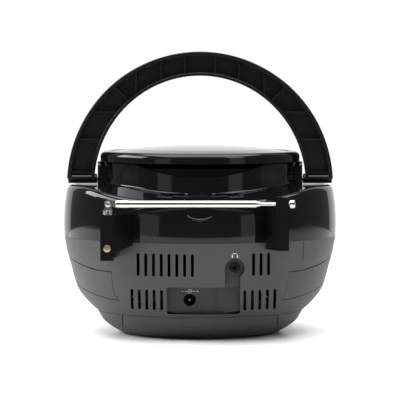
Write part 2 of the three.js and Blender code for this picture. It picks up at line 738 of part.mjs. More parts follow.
function aerialOuter() {
  const { x, y, z } = AERIAL;
  const eye = cut(rod([x, y - 1.7, z], [x, y + 1.7, z], 3.6, 16),
    rod([x, y - 3, z], [x, y + 3, z], 1.6, 8));
  const neck = block([74, y - 1.7, z - 2.4], [x - 3, y + 1.7, z + 2.4]);
  const sleeve = rod([75.5, y, z], [64, y, z], 3.9, 16);
  const bore = rod([62, y, z], [-60, y, z], TUBES.outer.bore, 16);
  return cut(join(eye, neck, sleeve, aerialTube({ ...TUBES.outer, from: 75.5 }, 62)), bore);
}

function aerialInner() {
  const { from, to, radius } = TUBES.inner;
  const { y, z } = AERIAL;
  const tip = spin([[0, 0], [4, 0.4], [4, 4.4], [2.6, 5.4], [0, 5.4]], 16);
  const turned = tip.rotate([0, -90, 0]).translate([to, y, z]);
  return join(rod([from, y, z], [to - 1, y, z], radius, 12), turned);
}

// ---------------------------------------------------------------- speakers

function speakerPieces(side, name) {
  const frame = speakerFrame(side);
  // The sleeve is deeper than the shell wall's lowest edge, so it closes the opening all round.
  const bezel = revolve([[31, -SPEAKER.sleeve], [34, -SPEAKER.sleeve], [34, 1.2], [33, 2.5],
    [31.8, 2.5], [31, 1.2]], { steps: 28 });
  const grille = revolve([[0, 2.2], [16, 1.6], [30.6, -0.4], [30.6, -1.4], [0, 1.2]],
    { loop: false, steps: 28 });
  const cone = revolve([[0, -13], [6, -14], [9, -16.6], [23.5, -7.6], [26, -6], [28.5, -7],
    [28.5, -8], [26, -7.4], [24, -9], [9.4, -18], [0, -15]], { loop: false, steps: 18 });
  const driver = revolve([[0, -20], [10.5, -20], [27, -10], [30.6, -8.8], [30.6, -10.8],
    [28, -12], [21, -20.5], [21, -31], [0, -31]], { loop: false, steps: 18 });
  add(`speaker_bezel_${name}`, bezel, 'glossShell', frame);
  add(`speaker_grille_${name}`, grille, 'steel', frame);
  add(`speaker_cone_${name}`, cone, 'paper', frame);
  add(`speaker_driver_${name}`, driver, 'darkPlastic', frame);
  group.add(frame);
}

// ---------------------------------------------------------------- front controls

const PANEL = { halfWidth: 44, z0: 98, z1: 135, face: -REACH };
const DISPLAY = { halfWidth: 33, z0: 116, z1: 132 };
const KEYS = { z: 106, width: 12, height: 7, pitch: 16.5, travel: 1.5 };
const KEY_NAMES = ['previous', 'stop', 'play', 'next'];

function keyX(index) {
  return (index - (KEY_NAMES.length - 1) / 2) * KEYS.pitch;
}

function frontPanel() {
  const { halfWidth, z0, z1, face } = PANEL;
  const plan = [[-halfWidth - 4, -100], [-halfWidth - 4, face + 14], [-halfWidth, face],
    [halfWidth, face], [halfWidth + 4, face + 14], [halfWidth + 4, -100]];
  const slab = lyingPlate(plan, z0, z1);
  const window = block([-DISPLAY.halfWidth, face - 1, DISPLAY.z0],
    [DISPLAY.halfWidth, face + 2.4, DISPLAY.z1]);
  const holes = KEY_NAMES.map((_, i) => block(
    [keyX(i) - KEYS.width / 2 - GAP, face - 1, KEYS.z - KEYS.height / 2 - GAP],
    [keyX(i) + KEYS.width / 2 + GAP, -110, KEYS.z + KEYS.height / 2 + GAP]));
  return cut(slab, bodySolid(4 * GAP), window, ...holes);
}

function frontKey(index) {
  const x = keyX(index);
  return block([x - KEYS.width / 2, PANEL.face + 0.4, KEYS.z - KEYS.height / 2],
    [x + KEYS.width / 2, PANEL.face + 5, KEYS.z + KEYS.height / 2]);
}

// A knob with a shaft, turned about the radial line through its azimuth.
function knob() {
  const { radius } = KNOBS;
  const outline = [[0, -16], [3, -16], [3, 1], [radius - 1, 1], [radius, 2.2],
    [radius - 0.8, 9], [radius - 2, 10], [0, 10]];
  const cap = spin(outline, 20);
  const pointer = block([-0.8, 4, 9], [0.8, 10, 12]);
  return cut(cap, pointer);
}

function addKnob(name, azimuth) {
  const seat = new THREE.Group();
  const outward = new THREE.Vector3(...azimuthPoint(azimuth, 1, 0));
  seat.quaternion.setFromUnitVectors(new THREE.Vector3(0, 0, 1), outward);
  seat.position.set(...azimuthPoint(azimuth, KNOBS.seat, KNOBS.z));
  add(name, knob(), 'chrome', seat);
  group.add(seat);
}

// A slide switch cap standing through its slot in the ledge, at the left end of its travel.
function switchCap(side) {
  const [x, y] = azimuthPoint(side * SWITCHES.azimuth, SWITCHES.radius, 0);
  const travelEnd = x - SWITCHES.slotLength / 2 + GAP;
  const halfWidth = SWITCHES.slotWidth / 2 - GAP;
  return join(
    block([travelEnd, y - halfWidth, FRONT_LEDGE - 7], [travelEnd + 6, y + halfWidth, FRONT_LEDGE + 3]),
    block([travelEnd - 2, y - 4, FRONT_LEDGE - 8], [travelEnd + 8, y + 4, FRONT_LEDGE - 5.6]));
}

function lidButton() {
  const { y, halfX, halfY } = LID_BUTTON;
  return block(
    [-halfX + GAP, y - halfY + GAP, FRONT_LEDGE - 7], [halfX - GAP, y + halfY - GAP, FRONT_LEDGE + 1.8]);
}

const BOARD = { halfX: 58, front: -48, rear: 52, z: 100, thickness: 1.6 };

// The main board with its chips, three capacitors and an upright heat sink.
function mainBoard() {
  const { halfX, front, rear, z, thickness } = BOARD;
  const top = z + thickness;
  const base = block([-halfX, front, z], [halfX, rear, top]);
  const chips = [
    { x: -30, y: -20, width: 24, depth: 24, height: 3 },
    { x: 20, y: -10, width: 16, depth: 22, height: 3 },
    { x: 0, y: 28, width: 30, depth: 14, height: 6 },
  ].map(({ x, y, width, depth, height }) =>
    block([x - width / 2, y - depth / 2, z + 1], [x + width / 2, y + depth / 2, top + height]));
  const capacitors = [[42, 30], [42, 12], [-44, 34]].map(([x, y]) =>
    rod([x, y, z + 1], [x, y, top + 14.4], 6, 12));
  const heatSink = block([-20, rear - 8, z + 1], [20, rear - 4, top + 20.4]);
  return join(base, ...chips, ...capacitors, heatSink);
}

// ---------------------------------------------------------------- assembly

const door = doorRegion(0);
const foot = footBowl();

add('lower_shell', lowerShell(), 'mattShell');
add('base_foot', cut(foot, doorRegion(GAP)), 'mattShell');
add('battery_door', foot.intersect(door), 'mattShell');
add('battery_box', batteryBox(), 'darkPlastic');
SIDES.forEach(([name, side]) => {
  add(`contact_plate_${name}`, contactPlate(side), 'steel');
  add(`foot_pad_front_${name}`, footPad(side * 44, -48), 'rubber');
  add(`foot_pad_rear_${name}`, footPad(side * 44, 48), 'rubber');
  add(`cheek_panel_${name}`, cheekPanel(side), 'mattShell');
  add(`handle_pin_${name}`, rod([side * 89, 0, HANDLE_AXIS_Z], [side * 112, 0, HANDLE_AXIS_Z],
    PIN_RADIUS), 'steel');
  speakerPieces(side, name);
});

add('upper_shell', upperShell(), 'glossShell');
add('cd_deck', discDeck(), 'darkPlastic');
add('cd_chassis', driveChassis(), 'steel');
add('spindle_motor', spindleMotor(), 'steel');
add('spindle_hub', spindleHub(), 'darkPlastic');
add('laser_sled', laserSled(), 'darkPlastic');
add('laser_lens', spin([[0, 0], [2.6, 0], [2.2, 0.8], [0, 1.4]], 16)
  .translate([0, (SLED.y0 + SLED.y1) / 2, SLED.z1 + 1.2 + GAP]), 'smoked');
SIDES.forEach(([name, side]) => {
  add(`guide_rod_${name}`, guideRod(side), 'chrome');
});

add('drum_rim', drumRim(), 'glossShell');
add('cd_lid', lidFrame(), 'glossShell');
add('lid_window', lidWindow(), 'smoked');
add('handle', handle(), 'darkPlastic');

add('antenna_post', aerialPost(), 'glossShell');
add('post_screw', spin([[0, 134.6], [3.4, 134.6], [3.4, 135.4], [2.4, 136.1], [0, 136.1]], 20)
  .rotate([-90, 0, 0]).translate([84, 0, 88]), 'brass');
add('antenna_clip_post', clipPost(), 'glossShell');
add('antenna_clip', aerialClip(), 'glossShell');
add('antenna_fork', aerialFork(), 'chrome');
add('antenna_pin', rod([AERIAL.x, AERIAL.y - 4.6, AERIAL.z], [AERIAL.x, AERIAL.y + 4.6, AERIAL.z],
  1.3, 8), 'steel');
add('antenna_tube', aerialOuter(), 'chrome');
add('antenna_mid_tube', aerialTube(TUBES.middle, 58), 'chrome');
add('antenna_rod', aerialInner(), 'chrome');

const { power, aux } = SOCKETS;
add('jack_panel', jackPanel(), 'mattShell');
add('power_jack', tubeAlongY(power.jackX, power.jackZ, 84, 96.4, 5.4, 4.3), 'darkPlastic');
add('power_jack_pin', rod([power.jackX, 87.4, power.jackZ], [power.jackX, 95.4, power.jackZ], 1, 12),
  'steel');
add('aux_jack', tubeAlongY(aux.x, aux.z, 96, 109.6, 4.4, 1.9), 'darkPlastic');

add('front_panel', frontPanel(), 'glossShell');
add('display_window', block([-DISPLAY.halfWidth + GAP, PANEL.face + 0.3, DISPLAY.z0 + GAP],
  [DISPLAY.halfWidth - GAP, PANEL.face + 2.1, DISPLAY.z1 - GAP]), 'display');
KEY_NAMES.forEach((name, index) => add(`button_${name}`, frontKey(index), 'chrome'));
add('button_lid', lidButton(), 'glossShell');
addKnob('volume_knob', KNOBS.azimuth);
addKnob('tuning_knob', -KNOBS.azimuth);
add('function_switch', switchCap(1), 'chrome');
add('band_switch', switchCap(-1), 'chrome');
add('main_board', mainBoard(), 'board');

export default group;
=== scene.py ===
"""Looks of a round portable disc and radio player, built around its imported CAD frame.

Outlines are written in millimetres, as on a drawing, and become metres when a mesh is made.
"""
import json
import math

import bmesh
import bpy
from mathutils import Matrix, Vector


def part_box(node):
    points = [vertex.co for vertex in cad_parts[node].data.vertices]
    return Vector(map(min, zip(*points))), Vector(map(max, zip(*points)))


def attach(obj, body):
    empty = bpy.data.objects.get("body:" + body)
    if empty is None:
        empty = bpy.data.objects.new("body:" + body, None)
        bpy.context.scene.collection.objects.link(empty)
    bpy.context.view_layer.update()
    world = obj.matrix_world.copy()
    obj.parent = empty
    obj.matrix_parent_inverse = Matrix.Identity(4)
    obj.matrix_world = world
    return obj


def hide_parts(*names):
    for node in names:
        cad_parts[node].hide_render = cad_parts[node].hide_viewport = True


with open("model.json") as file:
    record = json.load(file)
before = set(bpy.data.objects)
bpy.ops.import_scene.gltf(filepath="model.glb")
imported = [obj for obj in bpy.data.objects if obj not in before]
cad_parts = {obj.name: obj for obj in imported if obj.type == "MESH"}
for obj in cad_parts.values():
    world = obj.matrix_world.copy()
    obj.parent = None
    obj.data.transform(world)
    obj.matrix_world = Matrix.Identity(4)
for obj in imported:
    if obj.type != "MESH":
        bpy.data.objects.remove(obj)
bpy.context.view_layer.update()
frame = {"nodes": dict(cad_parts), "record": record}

MM = 0.001
ROUND = 256                 # facets round the body
SIDES = (("left", 1), ("right", -1))

# ------------------------------------------------------------------ dimensions, as in the CAD

WALL = 2.8
FOOT_TOP, SEAM, LEDGE = 22, 92, 140.8
FALL_DEPTH, FALL_FROM, FALL_TO = 11, 55, 125       # how the ledge dips at the rear
RISE_HEIGHT, RISE_FROM, RISE_TO = 4.5, 14, 46      # and climbs at the front
DRUM_RADIUS, DRUM_TOP = 91, 162
RIM_RADIUS, RIM_BOTTOM = 95, 162.6
LID_RADIUS, WINDOW_RADIUS = 84, 66
HINGE_X, HINGE_Y, HINGE_Z = 39, 66, 166.5
HANDLE_AXIS, HANDLE_CENTRE = 146, 140
HANDLE_OUTER, HANDLE_INNER_X, HANDLE_INNER_Z = 126.6, 100.7, 103.6
HANDLE_FRONT, HANDLE_REAR = -9.5, 4.5
OUTER_WALL, INNER_WALL, HANDLE_FLOOR, HANDLE_BEND = 4, 3, 2.6, 4.5
EAR_INNER, EAR_OUTER, EAR_RADIUS, EAR_CROWN = 90.4, 97.2, 6.5, 155.8
AERIAL_X, AERIAL_Y, AERIAL_Z = 83, 131, 128
SPEAKER_AZIMUTH, SPEAKER_DROOP = 45, 15
SPEAKER_RADIUS, SPEAKER_Z, SPEAKER_OPENING, SPEAKER_SLEEVE = 119.6, 52, 34.3, 17
KNOB_AZIMUTH, KNOB_Z, KNOB_SEAT = 38, 116, 129.4
POWER_BAY = (-36.7, 30.4, 25.4, 51.5)
POWER_FLOOR, POWER_X, POWER_Z = 95.5, 9.5, 38.2
SOUND_X, SOUND_Z, SOUND_RADIUS, SOUND_FLOOR = -31.7, 69, 9, 108
PANEL_FACE = -136.2
KEY_PITCH, KEY_Z = 16.5, 106


# ------------------------------------------------------------------ materials

def grained(name, color, roughness, metallic=0.0, spread=0.05, grain=900.0, relief=0.01,
            mottle=0.12, specular=0.5, coat=0.0):
    """A surface with fine grain, a slow change of tone and uneven polish."""
    made = bpy.data.materials.new(name)
    made.use_nodes = True
    nodes, links = made.node_tree.nodes, made.node_tree.links
    shader = nodes["Principled BSDF"]
    shader.inputs["Metallic"].default_value = metallic
    shader.inputs["Specular IOR Level"].default_value = specular
    shader.inputs["Coat Weight"].default_value = coat
    place = nodes.new("ShaderNodeTexCoord")
    tone = nodes.new("ShaderNodeTexNoise")
    tone.inputs["Scale"].default_value = 22
    tone.inputs["Detail"].default_value = 4
    ramp = nodes.new("ShaderNodeValToRGB")
    for stop, share in zip(ramp.color_ramp.elements, (1 - mottle, 1 + mottle)):
        stop.color = (*(min(1.0, part * share) for part in color), 1)
    polish = nodes.new("ShaderNodeTexNoise")
    polish.inputs["Scale"].default_value = 60
    polish.inputs["Detail"].default_value = 6
    spread_map = nodes.new("ShaderNodeMapRange")
    spread_map.inputs["To Min"].default_value = max(0.01, roughness - spread)
    spread_map.inputs["To Max"].default_value = roughness + spread
    fine = nodes.new("ShaderNodeTexNoise")
    fine.inputs["Scale"].default_value = grain
    fine.inputs["Detail"].default_value = 2
    bump = nodes.new("ShaderNodeBump")
    bump.inputs["Strength"].default_value = relief * 10
    bump.inputs["Distance"].default_value = 0.0001
    for texture in (tone, polish, fine):
        links.new(place.outputs["Object"], texture.inputs["Vector"])
    links.new(tone.outputs["Fac"], ramp.inputs["Fac"])
    links.new(ramp.outputs["Color"], shader.inputs["Base Color"])
    links.new(polish.outputs["Fac"], spread_map.inputs["Value"])
    links.new(spread_map.outputs["Result"], shader.inputs["Roughness"])
    links.new(fine.outputs["Fac"], bump.inputs["Height"])
    links.new(bump.outputs["Normal"], shader.inputs["Normal"])
    return made


FINISH = {
    "matt_shell": grained("matt_shell", (0.034, 0.0345, 0.036), 0.5, grain=2600, relief=0.05,
                          specular=0.35),
    "gloss_shell": grained("gloss_shell", (0.003, 0.003, 0.0034), 0.07, spread=0.025,
                           grain=300, relief=0.001, specular=0.3),
    "smoked_window": grained("smoked_window", (0.012, 0.012, 0.013), 0.06, spread=0.02,
                             grain=200, relief=0.001, specular=0.6, coat=0.3),
    "dark_plastic": grained("dark_plastic", (0.0045, 0.0045, 0.005), 0.28, grain=2000,
                            relief=0.03, specular=0.34),
    "chrome": grained("chrome", (0.47, 0.455, 0.42), 0.12, 1.0, spread=0.04, grain=700,
                      relief=0.002, mottle=0.04),
    "bright_trim": grained("bright_trim", (0.24, 0.245, 0.26), 0.36, 0.7, grain=1600,
                           relief=0.01, mottle=0.06),
    "brass": grained("brass", (0.36, 0.27, 0.15), 0.34, 1.0, grain=800, relief=0.01),
    "steel": grained("steel", (0.42, 0.42, 0.43), 0.33, 1.0, spread=0.08, grain=900,
                     relief=0.01),
    "grille": grained("grille", (0.02, 0.02, 0.021), 0.5, 0.1, grain=2400, relief=0.03,
                      specular=0.3),
    "rubber": grained("rubber", (0.016, 0.016, 0.016), 0.85, grain=1500, relief=0.06),
    "paper": grained("paper", (0.03, 0.03, 0.031), 0.9, grain=700, relief=0.12, mottle=0.25),
    "board": grained("board", (0.02, 0.12, 0.05), 0.4, grain=500, relief=0.04, mottle=0.3),
    "display": grained("display", (0.16, 0.21, 0.17), 0.16, spread=0.03, grain=300,
                       relief=0.002, mottle=0.05),
    "lens": grained("lens", (0.06, 0.05, 0.14), 0.05, spread=0.02, relief=0.001, coat=1.0),
}
MARK_WHITE = grained("printed_mark", (0.55, 0.55, 0.56), 0.5, grain=1500, relief=0.01,
                     mottle=0.05)
# Black plastic pushed far below its own tone, with a weak shine, so that the power jack's hole and the
# disc well under the lid read as deep shadow: partly real black plastic, mostly painted shade.
PAINTED_SHADE_BLACK = grained("painted_shade_black", (0.0015, 0.0015, 0.0015), 0.6, specular=0.1)
INK = grained("display_ink", (0.02, 0.024, 0.022), 0.35, grain=900, relief=0.01)


# ------------------------------------------------------------------ mesh tools

def object_from(name, points, faces):
    """A mesh object from points in millimetres, with doubled points merged, faces outward."""
    mesh = bpy.data.meshes.new(name)
    mesh.from_pydata([Vector(point) * MM for point in points], [], faces)
    work = bmesh.new()
    work.from_mesh(mesh)
    bmesh.ops.remove_doubles(work, verts=work.verts, dist=1e-6)
    bmesh.ops.dissolve_degenerate(work, edges=work.edges, dist=1e-7)
    bmesh.ops.recalc_face_normals(work, faces=work.faces)
    work.to_mesh(mesh)
    work.free()
    made = bpy.data.objects.new(name, mesh)
    bpy.context.scene.collection.objects.link(made)
    return made


def lathe(name, profile, steps=ROUND, loop=True, warp=None):
    """Turns [radius, height] points about Z; warp may move each finished point."""
    points, faces = [], []
    count = len(profile)
    for step in range(steps):
        angle = 2 * math.pi * step / steps
        for index, (radius, height) in enumerate(profile):
            point = (radius * math.cos(angle), radius * math.sin(angle), height)
            points.append(warp(point, index) if warp else point)
    spans = count if loop else count - 1
    for step in range(steps):
        here, there = step * count, (step + 1) % steps * count
        for index in range(spans):
            after = (index + 1) % count
            faces.append((here + index, there + index, there + after, here + after))
    return object_from(name, points, faces)


def prism(name, outline, low, high, axis="y"):
    """Extrudes an outline along one axis; it is drawn in the other two, in X, Y, Z order."""
    order = {"x": (2, 0, 1), "y": (0, 2, 1), "z": (0, 1, 2)}[axis]
    count = len(outline)
    points = []
    for depth in (low, high):
        for u, v in outline:
            points.append([(u, v, depth)[k] for k in order])
    sides = [(i, (i + 1) % count, count + (i + 1) % count, count + i) for i in range(count)]
    return object_from(name, points, [*sides, tuple(range(count)), tuple(range(count, 2 * count))])


def block(name, low, high):
    outline = [(low[0], low[1]), (high[0], low[1]), (high[0], high[1]), (low[0], high[1])]
    return prism(name, outline, low[2], high[2], "z")


def arc(centre, radius, start, end, steps):
    """Points on an arc, angles in degrees."""
    angles = [math.radians(start + (end - start) * i / steps) for i in range(steps + 1)]
    return [(centre[0] + radius * math.cos(a), centre[1] + radius * math.sin(a))
            for a in angles]


def rod(name, start, end, radius, steps=48):
    """A round bar between two points."""
    along = Vector(end) - Vector(start)
    made = lathe(name, [(0, 0), (radius, 0), (radius, along.length), (0, along.length)],
                 steps, loop=False)
    turn = Vector((0, 0, 1)).rotation_difference(along).to_matrix().to_4x4()
    made.data.transform(Matrix.Translation(Vector(start) * MM) @ turn)
    return made


def spline(points, steps):
    """A smooth curve through the points, with this many steps in each span."""
    padded = [points[0], *points, points[-1]]
    curve = []
    for i in range(len(points) - 1):
        a, b, c, d = (Vector(p) for p in padded[i:i + 4])
        for k in range(steps):
            t = k / steps
            curve.append(tuple(0.5 * (2 * b + (c - a) * t + (2 * a - 5 * b + 4 * c - d) * t ** 2
                                      + (3 * b - a - 3 * c + d) * t ** 3)))
    return [*curve, tuple(points[-1])]


def together(*objects):
    """Joins the meshes of several objects into the first."""
    work = bmesh.new()
    for piece in objects:
        work.from_mesh(piece.data)
    work.to_mesh(objects[0].data)
    work.free()
    for piece in objects[1:]:
        bpy.data.objects.remove(piece)
    return objects[0]


def bake_modifiers(piece):
    shown = piece.evaluated_get(bpy.context.evaluated_depsgraph_get())
    mesh = bpy.data.meshes.new_from_object(shown)
    piece.modifiers.clear()
    piece.data = mesh


def combine(piece, others, operation="DIFFERENCE"):
    """Cuts, joins or crosses a piece with other solids, which are used up."""
    tools = [together(*others)] if operation == "INTERSECT" else others
    for tool in tools:
        step = piece.modifiers.new("combine", "BOOLEAN")
        step.operation, step.solver, step.object = operation, "MANIFOLD", tool
    bake_modifiers(piece)
    for tool in tools:
        bpy.data.objects.remove(tool)
    return piece


def soften(piece, width=0.4, segments=2, angle=35):
    """Rounds sharp edges, smooths the shading and keeps flat faces flat."""
    bevel = piece.modifiers.new("edges", "BEVEL")
    bevel.width, bevel.segments, bevel.limit_method = width * MM, segments, "ANGLE"
    bevel.angle_limit, bevel.harden_normals = math.radians(angle), True
    for polygon in piece.data.polygons:
        polygon.use_smooth = True
    weighted = piece.modifiers.new("shading", "WEIGHTED_NORMAL")
    weighted.keep_sharp = True
    return piece


def finish_piece(piece, slot, body, *nodes, material=None):
    """Gives a piece its material, the body it rides on and the CAD nodes it stands for."""
    piece.data.materials.clear()
    piece.data.materials.append(material or FINISH[slot])
    for polygon in piece.data.polygons:
        polygon.use_smooth = True
        polygon.material_index = 0
    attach(piece, body)
    if nodes:
        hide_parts(*nodes)
    return piece


# ------------------------------------------------------------------ body outlines

FOOT_LINE = spline([(73.5, 0), (83.5, 5.5), (92, 12), (96.2, 18.5), (98.2, FOOT_TOP)], 6)
BOWL_LINE = spline([(98.4, FOOT_TOP), (106.5, 29.5), (116.8, 43.5), (124.8, 71.5),
                    (129, SEAM)], 8)
BAND_LINE = spline([(129, SEAM), (129.4, 104), (128.6, 122), (126.6, 136)], 6)


def bowl_skin(name, outer_inset, inner_inset):
    outside = [(radius - outer_inset, height) for radius, height in BOWL_LINE]
    inside = [(radius - inner_inset, height) for radius, height in BOWL_LINE]
    return lathe(name, [*outside, *reversed(inside)])


def slot_outline(x, low, high, width):
    half = width / 2
    return [*arc((x, high - half), half, 0, 180, 6), *arc((x, low + half), half, 180, 360, 6)]


def vent_cutters():
    """Four groups of upright slots: how many, the first slot's x, low z, high z and pitch."""
    groups = ((8, 6.9, 61.2, 82.5, 7.08), (3, -62.6, 61.5, 82.5, 6.9),
              (5, 35.1, 29, 48.7, 6.83), (5, -68.8, 28.6, 48.3, 6.95))
    return [prism("vent", slot_outline(start + i * pitch, low, high, 2.7), 60, 140)
            for count, start, low, high, pitch in groups for i in range(count)]


def socket_cutters():
    """The wide bay for power and the round well for sound above it, as one outline each."""
    x0, x1, z0, z1 = POWER_BAY
    corner, depth = 1.5, 20
    bay = [*arc((x1 - corner, z1 - corner), corner, 0, 90, 4),
           *arc((x0 + corner, z1 - corner), corner, 90, 180, 4),
           *arc((x0 + corner, z0 + corner), corner, 180, 270, 4),
           *arc((x1 - corner, z0 + corner), corner, 270, 360, 4)]
    well = [*arc((SOUND_X, SOUND_Z), SOUND_RADIUS, 0, 236, 40),
            (SOUND_X - 5, z1 - 3), (SOUND_X + SOUND_RADIUS, z1 - 3)]
    return [prism("bay", bay, POWER_FLOOR - depth, 135),
            prism("well", well, SOUND_FLOOR - depth, 136)]


CHEEK = [(92, 64.1), (84.8, 36.6), (75.4, 37.3), (24, 46.8), (-38, 56), (-44, 62),
         (-42, 78), (-34, 82), (20, 73.6), (37.6, 71), (77.4, 64.8)]


def cheek_prism(side, shrink):
    def inward(value, middle):
        return value - math.copysign(shrink, value - middle)
    outline = [(inward(y, 24), inward(z, 60)) for y, z in CHEEK]
    low, high = (60, 140) if side > 0 else (-140, -60)
    return prism("cheek_tool", outline, low, high, "x")


def speaker_matrix(side):
    """Where a speaker sits, its own +Z axis along the direction it faces."""
    azimuth, droop = math.radians(SPEAKER_AZIMUTH), math.radians(SPEAKER_DROOP)
    facing = Vector((side * math.sin(azimuth) * math.cos(droop),
                     -math.cos(azimuth) * math.cos(droop), -math.sin(droop)))
    place = Vector((side * math.sin(azimuth), -math.cos(azimuth), 0)) * SPEAKER_RADIUS
    place.z = SPEAKER_Z
    turn = Vector((0, 0, 1)).rotation_difference(facing).to_matrix().to_4x4()
    return Matrix.Translation(place * MM) @ turn


def at_speaker(piece, side):
    piece.data.transform(speaker_matrix(side))
    return piece


def bowl_core(inset):
    """Everything deeper than this under the lower shell's surface."""
    return lathe("core", [(0, 0), *[(r - inset, z) for r, z in BOWL_LINE], (0, 95)], loop=False)


def moulded_line():
    """A thin split line that steps down from the seam, right of the clip post."""
    outline = [(-95.7, 94), (-95.2, 94), (-94.9, 75.2), (-83, 72.5), (-83, 73), (-95.4, 75.6)]
    return combine(prism("split_line", outline, 60, 140), [bowl_core(0.7)])


def make_lower_shell():
    shell = bowl_skin("lower_shell_skin", 0, WALL)
    combine(shell, vent_cutters())
    combine(shell, socket_cutters())
    combine(shell, [moulded_line()])
    for _, side in SIDES:
        combine(shell, [combine(cheek_prism(side, 0), [bowl_core(1.6)])])
        hole = lathe("hole", [(0, -30), (SPEAKER_OPENING, -30), (SPEAKER_OPENING, 30), (0, 30)],
                     96, loop=False)
        combine(shell, [at_speaker(hole, side)])
    soften(shell, 0.35)
    finish_piece(shell, "matt_shell", "root", "lower_shell")


def make_cheeks():
    for name, side in SIDES:
        panel = combine(bowl_skin(f"cheek_{name}_skin", 0.1, 1.3), [cheek_prism(side, 0.8)],
                        "INTERSECT")
        soften(panel, 0.5)
        finish_piece(panel, "matt_shell", "root", f"cheek_panel_{name}")


def foot_solid(name):
    outside = [(71.6, 1.5), (71.6, 0.9), (72, 0.5), (74, 0.5),
               *[(r, min(z, 21.7)) for r, z in FOOT_LINE if z > 1]]
    inside = [(r - WALL, z) for r, z in reversed(outside) if z > 4.5]
    return lathe(name, [(0, 1.5), *outside, *inside, (inside[-1][0] - 1, 4.5), (0, 4.5)],
                 loop=False)


def make_foot():
    foot = combine(foot_solid("base_foot_skin"),
                   [block("door_gap", (-72.5, -30.3, -5), (72.5, 120, 30))])
    soften(foot, 0.4)
    finish_piece(foot, "matt_shell", "root", "base_foot")
    door = combine(foot_solid("battery_door_skin"),
                   [block("door_size", (-71.8, -30, -5), (71.8, 120, 30))], "INTERSECT")
    grip = [block("grip", (x - 0.9, 40, 0.9), (x + 0.9, 62, 1.9)) for x in range(-18, 19, 4)]
    combine(door, grip)
    soften(door, 0.4)
    finish_piece(door, "matt_shell", "battery_door", "battery_door")


# ------------------------------------------------------------------ upper shell

def smoothstep(value, low, high):
    share = min(1, max(0, (value - low) / (high - low)))
    return share * share * (3 - 2 * share)


def upper_outline():
    """[radius, height, share of the ledge's shift] round the shell's section."""
    band = [(r, max(z, SEAM + 0.15), (z - SEAM) / (LEDGE - SEAM)) for r, z in BAND_LINE]
    shoulder = [(r, z, 1) for r, z in arc((121.2, LEDGE - 5), 5, 12, 90, 8)]
    drum_foot = [(r, z, 1) for r, z in arc((93.5, LEDGE + 2), 2.5, 270, 180, 6)]
    drum_top = [(r, z, 0) for r, z in
                [(DRUM_RADIUS, 150), *arc((90, DRUM_TOP - 1), 1, 0, 90, 4),
                 (88.5, DRUM_TOP), (88.5, 150)]]
    lining = [(88.5, LEDGE - 3.4, 1), (118, LEDGE - 3.2, 1), (123, LEDGE - 7, 1),
              (126, 110, 0.35), (126.2, SEAM + 0.15, 0)]
    return [*band, *shoulder, *drum_foot, *drum_top, *lining]


def ledge_shift(y):
    """How far the ledge lies above its height at the sides."""
    return (RISE_HEIGHT * smoothstep(-y, RISE_FROM, RISE_TO)
            - FALL_DEPTH * smoothstep(y, FALL_FROM, FALL_TO))


def handle_ears():
    pieces = []
    for _, side in SIDES:
        outline = [(EAR_RADIUS, LEDGE - 2), *arc((0, EAR_CROWN), EAR_RADIUS, 0, 180, 24),
                   (-EAR_RADIUS, LEDGE - 2)]
        low, high = sorted((side * EAR_INNER, side * EAR_OUTER))
        ear = prism("ear", outline, low, high, "x")
        bore = rod("bore", (low - 1, 0, HANDLE_AXIS), (high + 1, 0, HANDLE_AXIS), 2.5)
        pieces.append(combine(ear, [bore]))
    return pieces


def azimuth_point(degrees, radius, height):
    angle = math.radians(degrees)
    return (radius * math.sin(angle), -radius * math.cos(angle), height)


def make_upper_shell():
    outline = upper_outline()

    def shift(point, index):
        x, y, z = point
        return x, y, z + outline[index][2] * ledge_shift(y)

    shell = lathe("upper_shell_skin", [(r, z) for r, z, _ in outline], warp=shift)
    radius = (62 ** 2 + 11.8 ** 2) / (2 * 11.8)
    centre = DRUM_TOP - 11.8 + radius
    scallop = rod("scallop", (0, 60, centre), (0, 100, centre), radius, 360)
    drains = [prism("drain", [(x - 11, 134.7), (x + 11, 134.7), (x + 11, 135.9),
                              (x - 11, 135.9)], 84, 94) for x in (-25, 0, 25)]
    recess = lathe("recess", [(0, -1), *arc((0, 0), 1, -80, 80, 18), (0, 1)], 48, loop=False)
    recess.data.transform(Matrix.Translation(Vector((0, 130, 126)) * MM)
                          @ Matrix.Diagonal((18, 5, 14, 1)))
    combine(shell, [scallop])
    combine(shell, drains)
    combine(shell, [recess])
    combine(shell, [rod("pin_hole", (side * 80, 0, HANDLE_AXIS), (side * 100, 0, HANDLE_AXIS), 2.5)
                    for _, side in SIDES])
    combine(shell, [rod("knob_hole", azimuth_point(a, 110, KNOB_Z), azimuth_point(a, 140, KNOB_Z), 3.3)
                    for a in (-KNOB_AZIMUTH, KNOB_AZIMUTH)])
    slots = []
    for azimuth in (-24, 24):
        x, y, _ = azimuth_point(azimuth, 108, 0)
        slots.append(block("switch_slot", (x - 8, y - 2.2, 130), (x + 8, y + 2.2, 150)))
    combine(shell, [*slots, block("panel_hole", (-34, -140, 100), (34, -110, 134)),
                    block("button_hole", (-16, -114, 130), (16, -102, 152))])
    combine(shell, handle_ears(), "UNION")
    soften(shell, 0.5, 3)
    finish_piece(shell, "gloss_shell", "root", "upper_shell")


# ------------------------------------------------------------------ rim, lid and window

def dome(radius):
    return 177.5 - 6 * (radius / 85) ** 2.2


def dome_line(start, end, steps, drop):
    return [(start + (end - start) * i / steps, dome(start + (end - start) * i / steps) - drop)
            for i in range(steps + 1)]


def make_rim():
    inner = LID_RADIUS + 1.0
    rim = lathe("drum_rim_skin", [
        (inner, 170.4), (inner + 1, 171.8), (inner + 2.2, 172.4), (90, 172.4),
        *arc((89.4, 166.8), 5.6, 84, 0, 12), (RIM_RADIUS, RIM_BOTTOM + 0.4),
        (RIM_RADIUS - 0.4, RIM_BOTTOM), (92, RIM_BOTTOM), (91, DRUM_TOP + 0.3),
        (inner + 1.6, DRUM_TOP + 0.3), (inner + 0.4, 168.4)])
    soften(rim, 0.2)
    finish_piece(rim, "gloss_shell", "root", "drum_rim")


